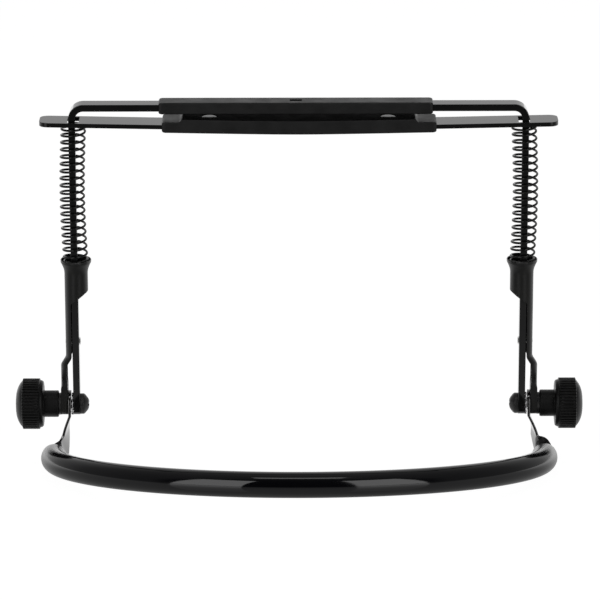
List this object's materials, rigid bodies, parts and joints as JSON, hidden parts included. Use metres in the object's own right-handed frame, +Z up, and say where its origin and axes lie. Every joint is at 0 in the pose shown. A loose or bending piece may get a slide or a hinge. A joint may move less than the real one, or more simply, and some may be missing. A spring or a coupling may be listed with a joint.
{
  "type": "harmonica holder",
  "caption": "Neck-worn harmonica holder: round padded yoke, two hinged arms with ribbed knobs, and a sprung rubber-lined jaw across the top.",
  "frame": {"origin": "inner side of the yoke's sleeve at the middle of the bend, where it bears on the back of the neck", "axes": "+X to the right seen from the bend, +Y from the nape towards the front of the wearer, +Z up, along the legs of the clamp frame"},
  "size_m": [0.2416, 0.1004, 0.1588],
  "materials": {
    "gloss_black_strip": "gloss black on flat steel",
    "black_paint": "half-gloss black on round steel tube",
    "blackened_spring_wire": "blackened, drawn wire",
    "dark_zinc_steel": "dark zinc plated",
    "brass": "turned, bare",
    "black_rubber": "moulded, dull sheen",
    "gloss_black_vinyl": "gloss vinyl tube",
    "matt_black_plastic": "matt moulded plastic"
  },
  "bodies": {
    "yoke": {"yoke_core": "black_paint", "yoke_sleeve": "gloss_black_vinyl"},
    "clamp": {"clamp_frame": "gloss_black_strip", "upper_pad_sleeve": "black_rubber", "arm_tube_left": "black_paint", "arm_rivet_left": "dark_zinc_steel", "spring_left": "blackened_spring_wire", "pivot_bolt_left": "dark_zinc_steel", "toothed_washer_left": "dark_zinc_steel", "thrust_washer_left": "dark_zinc_steel", "arm_tube_right": "black_paint", "arm_rivet_right": "dark_zinc_steel", "spring_right": "blackened_spring_wire", "pivot_bolt_right": "dark_zinc_steel", "toothed_washer_right": "dark_zinc_steel", "thrust_washer_right": "dark_zinc_steel"},
    "lower_jaw": {"lower_clamp_bar": "gloss_black_strip", "lower_pad_sleeve": "black_rubber", "pad_rivet_left": "dark_zinc_steel", "pad_rivet_right": "dark_zinc_steel"},
    "turning_knob_left": {"knob_left": "matt_black_plastic", "knob_insert_left": "brass"},
    "turning_knob_right": {"knob_right": "matt_black_plastic", "knob_insert_right": "brass"}
  },
  "joints": [
    {"name": "clamp_tilt", "type": "hinge", "parent": "yoke", "child": "clamp", "pos_m": [0, 0.07876, 0.0074], "axis": [1, 0, 0], "range_deg": [-90, 90]},
    {"name": "jaw_slide", "type": "slide", "parent": "clamp", "child": "lower_jaw", "axis": [0, 0, -1], "range_m": [-0.0015, 0.028], "stiffness_N_per_m": 1100, "springref_m": -0.0004, "deforming": ["spring_left", "spring_right"]},
    {"name": "knob_turn_left", "type": "hinge", "parent": "clamp", "child": "turning_knob_left", "pos_m": [-0.108, 0.07876, 0.0074], "axis": [-1, 0, 0], "range_deg": [0, 720]},
    {"name": "knob_turn_right", "type": "hinge", "parent": "clamp", "child": "turning_knob_right", "pos_m": [0.108, 0.07876, 0.0074], "axis": [1, 0, 0], "range_deg": [0, 720]}
  ]
}
